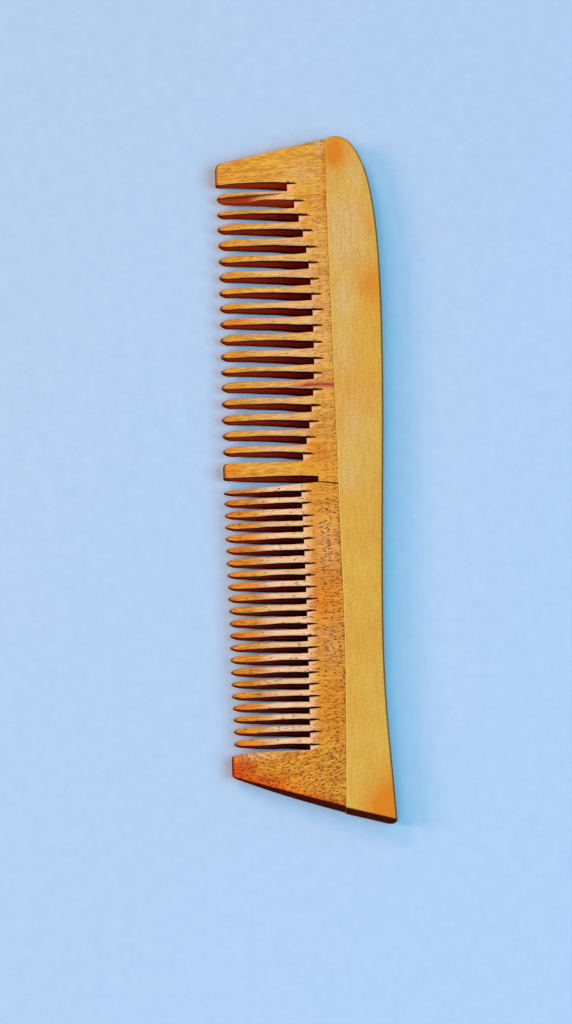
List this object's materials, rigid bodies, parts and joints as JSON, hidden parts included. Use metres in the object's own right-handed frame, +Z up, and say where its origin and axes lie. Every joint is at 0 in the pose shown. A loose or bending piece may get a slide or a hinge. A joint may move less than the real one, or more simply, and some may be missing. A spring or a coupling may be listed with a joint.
{
  "type": "wooden comb",
  "caption": "Flat handmade wooden comb with a coarse and a fine half, a dividing tooth between them, wide end guards and a rounded, gently waved back.",
  "frame": {"origin": "on the face that the comb lies on, at the middle of its length and width", "axes": "+X from the tooth tips to the back, +Y along the comb from the fine end to the coarse end, +Z up from the face that it lies on"},
  "size_m": [0.0432, 0.1887, 0.007],
  "materials": {
    "coarse_board_wood": "hand-rubbed, satin",
    "fine_board_wood": "hand-rubbed, satin",
    "spine_wood": "hand-rubbed, satin",
    "glue": "dried brown glue film"
  },
  "bodies": {
    "root": {"coarse_board": "coarse_board_wood", "fine_board": "fine_board_wood", "spine": "spine_wood", "glue_line": "glue"}
  },
  "joints": []
}
